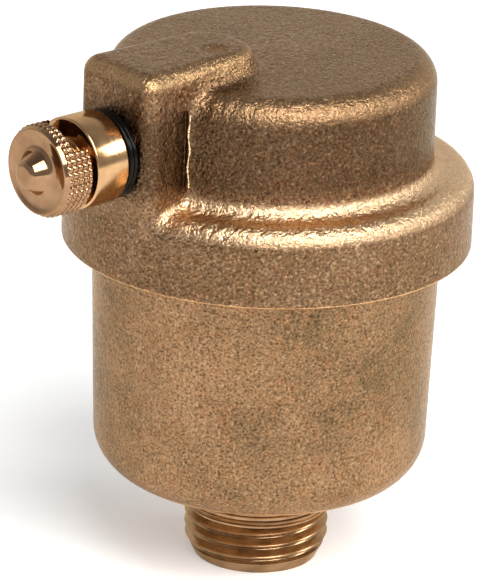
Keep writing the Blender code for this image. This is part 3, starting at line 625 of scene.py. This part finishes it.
nozzle = {"endS": 13.5, "guideEnd": 35.3, "collarS": 32.1, "frontS": 37.7, "tipS": 40.3,
          "shankR": 4.8, "collarR": 6.55, "edge": 0.35, "guideR": 3.0, "ventR": 1.2,
          "forkDepth": 6.0, "forkGap": 1.5, "pinS": 16.0, "pinDrop": 3.4, "pinR": 0.65,
          "neckRound": 0.15, "endRound": 0.2, "stubIn": 0.05, "stubLength": 0.6}
capThread = {"crest": 4.0, "root": 3.54, "pitch": 0.75, "sink": 0.2, "tipOut": 0.6, "tipDrop": 0.9}


def makeNozzle():
    front, edge, tip = nozzle["frontS"], nozzle["edge"], nozzle["tipS"]
    stubR, stubS = capThread["root"] - nozzle["stubIn"], front + nozzle["stubLength"]
    shape = turnedShape([
        (stubR, stubS),
        (stubR, front),
        (nozzle["collarR"], front, edge),
        (nozzle["collarR"], nozzle["collarS"], edge),
        (nozzle["shankR"], nozzle["collarS"], nozzle["neckRound"]),
        (nozzle["shankR"], nozzle["endS"], nozzle["endRound"]),
        (nozzle["guideR"], nozzle["endS"]),
        (nozzle["guideR"], nozzle["guideEnd"]),
        (nozzle["ventR"], nozzle["guideEnd"]),
        (nozzle["ventR"], stubS),
    ], 128, 5)
    piece = toObject(shape, "turnedNozzle", [nozzleBrass])
    spigot = toObject(threadShape(capThread["crest"], capThread["root"], capThread["pitch"],
                                  front - capThread["sink"], tip, 48), "spigot", [])
    blankR = capThread["crest"] + capThread["tipOut"]
    cutOrJoin(spigot, turnedShape([
        (0.0, tip),
        (capThread["root"], tip),
        (blankR, tip - capThread["tipDrop"]),
        (blankR, front - past),
        (0.0, front - past),
    ], 64), "INTERSECT", "EXACT")
    cutOrJoin(spigot, turnedShape([
        (0.0, tip + past),
        (nozzle["ventR"], tip + past),
        (nozzle["ventR"], front - past),
        (0.0, front - past),
    ], 128), "DIFFERENCE", "EXACT")
    cutOrJoinObject(piece, spigot, "UNION", "EXACT")
    piece.data.transform(outletTurn())
    reach = 2.0 * nozzle["shankR"]
    forkEnd = nozzle["endS"] + nozzle["forkDepth"]
    fork = boxShape((-forkEnd, -nozzle["forkGap"], outletZ - reach),
                    (-nozzle["endS"] + 3.0 * past, nozzle["forkGap"], outletZ + reach))
    cutOrJoin(piece, fork, "DIFFERENCE", "EXACT")
    hole = bmesh.new()
    bmesh.ops.create_cone(hole, cap_ends=True, segments=32, radius1=nozzle["pinR"] * mm,
                          radius2=nozzle["pinR"] * mm, depth=3.0 * reach * mm)
    bmesh.ops.rotate(hole, cent=(0, 0, 0), verts=hole.verts[:],
                     matrix=Matrix.Rotation(math.pi / 2.0, 3, "X"))
    bmesh.ops.translate(hole, verts=hole.verts[:],
                        vec=Vector((-nozzle["pinS"], 0.0, outletZ - nozzle["pinDrop"])) * mm)
    cutOrJoin(piece, hole, "DIFFERENCE", "EXACT")
    smoothByAngle(piece, 30.0)
    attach(piece, "root")
    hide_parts("vent_nozzle")
    print("nozzle made:", len(piece.data.polygons), "faces")


# Cap: knurled rim, dished face with a nose, and a slot milled across its rear

cap = {"s": 38.5, "r": 6.6, "knurl": 4.25, "chamfer": 0.6, "dish": 0.35, "rimWidth": 1.1,
       "noseFootR": 3.2, "noseR": 1.8, "noseHeight": 2.7, "boreR": 4.3, "boreDepth": 3.85,
       "noseRound": 0.7, "noseFootRound": 0.7, "dishRound": 0.5, "rimRound": 0.15,
       "rearChamfer": 0.35, "rearRound": 0.1, "boreRound": 0.2,
       "slotWidth": 8.2, "slotDepth": 2.7, "slotTurn": 12.0, "slotRound": 0.25,
       "teeth": 42, "pitch": 0.9, "toothDepth": 0.3, "pillow": 0.7, "steps": 336, "rows": 40}


def makeCap():
    rim = cap["knurl"] + cap["chamfer"]
    face = rim - cap["dish"]
    tip = face + cap["noseHeight"]
    knurlEnd = cap["knurl"]
    knurlRows = [(cap["r"], knurlEnd - (knurlEnd - cap["rearChamfer"]) * row / cap["rows"])
                 for row in range(cap["rows"] + 1)]
    shape = turnedShape([
        (0.0, tip),
        (cap["noseR"], tip, cap["noseRound"]),
        (cap["noseFootR"], face, cap["noseFootRound"]),
        (cap["r"] - cap["chamfer"] - cap["rimWidth"], face, cap["dishRound"]),
        (cap["r"] - cap["chamfer"], rim, cap["rimRound"]),
        *knurlRows,
        (cap["r"] - cap["rearChamfer"], 0.0, cap["rearRound"]),
        (cap["boreR"], 0.0, cap["boreRound"]),
        (cap["boreR"], cap["boreDepth"]),
        (0.0, cap["boreDepth"]),
    ], cap["steps"], 6)

    def pillow(turns):
        return abs(math.sin(math.pi * turns)) ** cap["pillow"]      # 0 in the furrows

    for vert in shape.verts:
        s = vert.co.z / mm
        radius = Vector(vert.co.xy).length / mm
        if radius > cap["r"] - 0.05 and 0.0 < s < knurlEnd + 0.01:
            around = math.atan2(vert.co.y, vert.co.x) * cap["teeth"] / (2.0 * math.pi)
            height = pillow(around) * pillow((knurlEnd - s) / cap["pitch"])
            radius = cap["r"] - cap["toothDepth"] * (1.0 - height)
            length = Vector(vert.co.xy).length
            vert.co.x *= radius * mm / length
            vert.co.y *= radius * mm / length
    piece = toObject(alongOutlet(shape, cap["s"]), "knurledCap", [capBrass])
    slot = boxShape((-(cap["s"] + cap["slotDepth"]), -cap["slotWidth"] / 2.0, -2.0 * cap["r"]),
                    (-(cap["s"] - cap["slotDepth"]), cap["slotWidth"] / 2.0, 2.0 * cap["r"]))
    bevelEdges(slot, slot.edges[:], cap["slotRound"], 4)
    bmesh.ops.rotate(slot, cent=(0, 0, 0), verts=slot.verts[:],
                     matrix=Matrix.Rotation(math.radians(cap["slotTurn"]), 3, "X"))
    bmesh.ops.translate(slot, vec=(0, 0, outletZ * mm), verts=slot.verts[:])
    cutOrJoin(piece, slot, "DIFFERENCE", "EXACT")
    smoothByAngle(piece, 26.0)
    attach(piece, "cap")
    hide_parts("vent_cap")
    print("cap made:", len(piece.data.polygons), "faces")


# Ring between nozzle and boss

nozzleRing = {"middleS": 31.05, "width": 1.5, "inner": 5.1, "outer": 6.35, "innerRound": 0.3,
              "outerRound": 0.33, "neck": 0.22, "neckHalf": 0.08, "neckEdge": 0.12, "neckFloor": 0.06}


def makeNozzleRing():
    half = nozzleRing["width"] / 2.0
    middle, outer = nozzleRing["middleS"], nozzleRing["outer"]
    neckHalf, neckEdge = nozzleRing["neckHalf"], nozzleRing["neckEdge"]
    shape = turnedShape([
        (nozzleRing["inner"], middle + half, nozzleRing["innerRound"]),
        (outer, middle + half, nozzleRing["outerRound"]),
        (outer, middle + neckHalf, neckEdge),
        (outer - nozzleRing["neck"], middle, nozzleRing["neckFloor"]),
        (outer, middle - neckHalf, neckEdge),
        (outer, middle - half, nozzleRing["outerRound"]),
        (nozzleRing["inner"], middle - half, nozzleRing["innerRound"]),
    ], 128, 5)
    piece = toObject(alongOutlet(shape), "nozzleSealRing", [rubber])
    smoothByAngle(piece, 50.0)
    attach(piece, "root")
    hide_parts("nozzle_o_ring")
    print("nozzle ring made")


forgedCover, grooveS = makeCover()
for flashName, flashSide in (("flashFront", -1.0), ("flashBack", 1.0)):
    makeFlash(flashName, forgedCover, grooveS - flash["inset"], flashSide)
makePot()
makeNozzle()
makeCap()
makeNozzleRing()

# CAD nodes that stay, with their finishes
keptNodes = {"body_o_ring": rubber, "obturator_seal": rubber, "cap_seal": rubber,
             "valve_seat": nozzleBrass, "obturator": nozzleBrass,
             "spring_retainer": stripSteel, "float_lever": stripSteel,
             "closing_spring": wireSteel, "lever_pin": wireSteel, "float_bail": wireSteel,
             "float_shell": floatPlastic, "float_lid": floatPlastic}
for nodeName, finish in keptNodes.items():
    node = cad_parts[nodeName]
    node.data.materials.clear()
    node.data.materials.append(finish)
print("inner pieces finished")


# Floor, light and camera

studio = {"floorSize": 8.0, "floorTone": "#F2F2F1", "floorGlow": 0.3, "worldDiffuse": 0.35,
          "worldAhead": 1.0, "worldBehind": 0.45, "worldHigh": 0.5}
# Sizes and distances in metres, power in watts. "aside" is how many degrees round to the camera's
# right a softbox stands
softboxes = {"key": {"size": (0.7, 0.8), "distance": 1.1, "elevation": 50.0, "aside": 25.0,
                     "power": 16.0},
             "side": {"size": (0.35, 0.35), "distance": 1.1, "elevation": 28.0, "aside": 89.0,
                      "power": 4.0}}
photoView = {"distance": 676.1, "height": 306.2, "azimuth": -43.08, "pitch": 21.47, "yaw": -0.29,
             "roll": 2.04, "focalPixels": 5057.0, "framePixels": 581.0}


def makeFloor():
    shape = bmesh.new()
    bmesh.ops.create_grid(shape, x_segments=1, y_segments=1, size=studio["floorSize"] / 2.0)
    floor = toObject(shape, "floor", [])
    finish, tree, shader = newMaterial("paleFloorPaper")
    shader.inputs["Base Color"].default_value = hexColour(studio["floorTone"])
    shader.inputs["Roughness"].default_value = 0.9
    shader.inputs["Specular IOR Level"].default_value = 0.0
    shader.inputs["Emission Color"].default_value = (1.0, 1.0, 1.0, 1.0)
    lift = addNode(tree, "ShaderNodeMath", {"operation": "MULTIPLY", 1: studio["floorGlow"]},
                   {0: seenDirectly(tree)}).outputs[0]
    tree.links.new(lift, shader.inputs["Emission Strength"])
    floor.data.materials.append(finish)


def makeWorld():
    world = bpy.data.worlds.new("studio")
    bpy.context.scene.world = world
    world.use_nodes = True
    tree = world.node_tree
    tree.nodes.clear()
    direction = addNode(tree, "ShaderNodeTexCoord").outputs["Generated"]
    height = addNode(tree, "ShaderNodeSeparateXYZ", links={"Vector": direction}).outputs["Z"]
    heading = Matrix.Rotation(math.radians(photoView["azimuth"]), 3, "Z") @ Vector((0.0, 1.0, 0.0))
    ahead = addNode(tree, "ShaderNodeVectorMath", {"operation": "DOT_PRODUCT", 1: heading},
                    {0: direction}).outputs["Value"]
    level = remap(tree, ahead, -0.1, 0.7, studio["worldBehind"], studio["worldAhead"])
    falling = remap(tree, height, 0.5, 0.8, 1.0, studio["worldHigh"])
    seenTone = addNode(tree, "ShaderNodeMath", {"operation": "MULTIPLY"},
                       {0: level, 1: falling}).outputs[0]
    strength = addNode(tree, "ShaderNodeMix", {"data_type": "FLOAT", 2: studio["worldDiffuse"]},
                       {0: seenDirectly(tree), 3: seenTone}).outputs[0]
    glow = addNode(tree, "ShaderNodeBackground", {"Color": (1.0, 1.0, 1.0, 1.0)},
                   {"Strength": strength})
    addNode(tree, "ShaderNodeOutputWorld", links={"Surface": glow.outputs[0]})


def makeSoftbox(name, box):
    lamp = bpy.data.lights.new(name, "AREA")
    lamp.shape = "RECTANGLE"
    lamp.size, lamp.size_y = box["size"]
    lamp.energy = box["power"]
    holder = bpy.data.objects.new(name, lamp)
    bpy.context.scene.collection.objects.link(holder)
    turn = Matrix.Rotation(math.radians(photoView["azimuth"] + box["aside"]), 3, "Z")
    rise = math.radians(box["elevation"])
    holder.location = turn @ Vector((0.0, -math.cos(rise), math.sin(rise))) * box["distance"]
    aim = Vector((0.0, 0.0, 50.0)) * mm - holder.location
    holder.rotation_euler = aim.to_track_quat("-Z", "Y").to_euler()


def makeCamera():
    turn = Matrix.Rotation(math.radians(photoView["azimuth"]), 3, "Z")
    yaw, pitch = math.radians(photoView["yaw"]), math.radians(photoView["pitch"])
    ahead = turn @ Vector((math.sin(yaw) * math.cos(pitch), math.cos(yaw) * math.cos(pitch),
                           -math.sin(pitch)))
    right = ahead.cross(Vector((0, 0, 1))).normalized()
    right = Matrix.Rotation(-math.radians(photoView["roll"]), 3, ahead) @ right
    up = right.cross(ahead)
    place = turn @ Vector((0.0, -photoView["distance"], photoView["height"])) * mm
    data = bpy.data.cameras.new("photoCamera")
    data.sensor_fit = "VERTICAL"
    data.sensor_height = 24.0
    data.lens = photoView["focalPixels"] * data.sensor_height / photoView["framePixels"]
    data.clip_start = 0.01
    camera = bpy.data.objects.new("photoCamera", data)
    bpy.context.scene.collection.objects.link(camera)
    pose = Matrix((right, up, -ahead)).transposed().to_4x4()
    camera.matrix_world = Matrix.Translation(place) @ pose
    bpy.context.scene.camera = camera


makeFloor()
makeWorld()
for boxName, softbox in softboxes.items():
    makeSoftbox(boxName, softbox)
makeCamera()
bpy.context.scene.view_settings.view_transform = "Standard"
print("floor, light and camera set")
